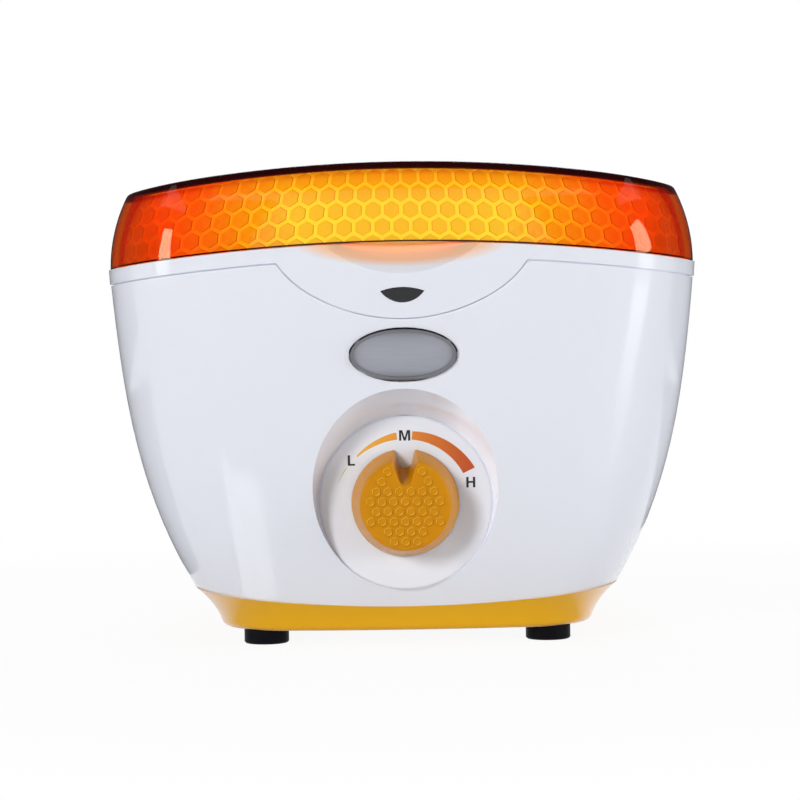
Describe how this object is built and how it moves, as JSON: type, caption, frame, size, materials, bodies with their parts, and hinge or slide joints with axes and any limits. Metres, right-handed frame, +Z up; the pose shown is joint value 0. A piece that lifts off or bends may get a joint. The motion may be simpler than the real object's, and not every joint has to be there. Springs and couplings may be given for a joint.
{
  "type": "wax warmer",
  "caption": "Table-top wax warmer: tapered rounded-square housing with an arched see-through lift-off lid, a heated cup for a wax can and a rotary heat knob.",
  "frame": {"origin": "middle of the footprint, on the table under the feet", "axes": "+Z up, -Y the front with the knob, +X to the right seen from the front"},
  "size_m": [0.1716, 0.1648, 0.1382],
  "materials": {
    "amber_clear": "clear amber, polished, honeycomb skirt",
    "white_gloss": "high-gloss cool white",
    "dial_white": "satin-gloss white with printed dial marks",
    "yellow_satin": "satin golden yellow",
    "foot_rubber": "matt black rubber",
    "knob_amber": "glossy amber, honeycomb embossed face",
    "bezel_chrome": "bright chrome",
    "badge_brushed": "brushed silver grey, bare",
    "smoked_lens": "smoked clear",
    "lamp_glass": "clear glass, neon",
    "holder_plastic": "natural",
    "well_aluminium": "satin drawn aluminium",
    "silicone": "matt silicone",
    "sheet_steel": "plain sheet",
    "heater_mica": "steel-clad mica band",
    "screw_steel": "zinc plated",
    "brass_nut": "turned brass",
    "thermostat_case": "dark phenolic",
    "fuse_case": "ceramic-white sleeve",
    "block_plastic": "natural nylon",
    "grommet_rubber": "white rubber",
    "wire_brown": "silicone sleeve, brown",
    "wire_blue": "silicone sleeve, blue",
    "wire_white": "silicone sleeve, white"
  },
  "bodies": {
    "root": {"housing": "white_gloss", "top_ring": "white_gloss", "dial_plate": "dial_white", "base": "yellow_satin", "foot_front_left": "foot_rubber", "foot_front_right": "foot_rubber", "foot_rear_left": "foot_rubber", "foot_rear_right": "foot_rubber", "badge_bezel": "bezel_chrome", "badge_plate": "badge_brushed", "indicator_lens": "smoked_lens", "indicator_lamp": "lamp_glass", "lamp_holder": "holder_plastic", "heating_well": "well_aluminium", "well_gasket": "silicone", "heat_shield": "sheet_steel", "fuse_clip": "sheet_steel", "heater_band": "heater_mica", "base_screws": "screw_steel", "well_screws": "screw_steel", "heater_clamp_screw": "screw_steel", "heater_clamp_nut": "screw_steel", "thermostat_nut": "brass_nut", "thermostat_body": "thermostat_case", "thermal_fuse": "fuse_case", "terminal_block": "block_plastic", "cord_grommet": "grommet_rubber", "live_wire": "wire_brown", "neutral_wire": "wire_blue", "heater_wire": "wire_white", "lamp_wires": "wire_white"},
    "lid_cover": {"lid": "amber_clear"},
    "dial": {"knob": "knob_amber", "knob_clip": "sheet_steel", "thermostat_shaft": "screw_steel"}
  },
  "joints": [
    {"name": "lid_lift", "type": "slide", "parent": "root", "child": "lid_cover", "axis": [0, 0, 1], "range_m": [0, 0.12]},
    {"name": "knob_turn", "type": "hinge", "parent": "root", "child": "dial", "pos_m": [0, -0.0713, 0.0416], "axis": [0, 1, 0], "range_deg": [-72, 73]}
  ]
}
